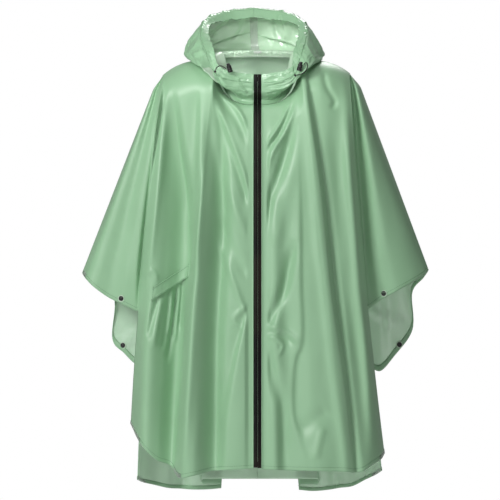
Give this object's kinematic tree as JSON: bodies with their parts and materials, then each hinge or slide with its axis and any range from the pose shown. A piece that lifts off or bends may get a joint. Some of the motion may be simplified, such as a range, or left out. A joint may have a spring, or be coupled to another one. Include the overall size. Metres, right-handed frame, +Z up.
{
  "type": "rain poncho",
  "caption": "Hooded rain poncho of thin coated cloth, worn and hollow, with a front zip, snap sides, a slanted pocket and a drawcord hood.",
  "frame": {"origin": "middle of the wearer's neck at shoulder level, where the wearer holds the garment up", "axes": "+Z up, -Y the front of the garment, +X to the wearer's left"},
  "size_m": [0.8341, 0.3612, 1.173],
  "materials": {
    "coated_cloth": "thin sage green cloth with a semi-gloss waterproof coating",
    "seam_tape": "pale translucent heat-sealed tape",
    "zip_tape": "black zip tape with a satin water-resistant film",
    "moulded_black": "black moulded plastic",
    "drawcord": "black braided cord"
  },
  "bodies": {
    "garment": {"front_right": "coated_cloth", "front_left": "coated_cloth", "back": "coated_cloth", "hood_right": "coated_cloth", "hood_left": "coated_cloth", "hood_casing": "coated_cloth", "pocket_welt": "coated_cloth", "pocket_bag": "coated_cloth", "hood_seam_tape": "seam_tape", "zip_tape_right": "zip_tape", "zip_tape_left": "zip_tape", "zip_slider": "moulded_black", "zip_box": "moulded_black", "snap_front_right_cap": "moulded_black", "snap_front_right_stud": "moulded_black", "snap_back_right_cap": "moulded_black", "snap_back_right_stud": "moulded_black", "snap_front_left_cap": "moulded_black", "snap_front_left_stud": "moulded_black", "snap_back_left_cap": "moulded_black", "snap_back_left_stud": "moulded_black", "lock_right_barrel": "moulded_black", "lock_left_barrel": "moulded_black", "cord_right": "drawcord", "cord_left": "drawcord", "knot_right": "drawcord", "knot_left": "drawcord"},
    "plunger_right": {"lock_right_plunger": "moulded_black"},
    "plunger_left": {"lock_left_plunger": "moulded_black"}
  },
  "joints": [
    {"name": "plunger_right_press", "type": "slide", "parent": "garment", "child": "plunger_right", "axis": [0.3077, 0.1231, -0.9435], "range_m": [0, 0.003], "stiffness_N_per_m": 300, "springref_m": -0.002},
    {"name": "plunger_left_press", "type": "slide", "parent": "garment", "child": "plunger_left", "axis": [-0.2417, 0.0806, -0.967], "range_m": [0, 0.003], "stiffness_N_per_m": 300, "springref_m": -0.002}
  ]
}
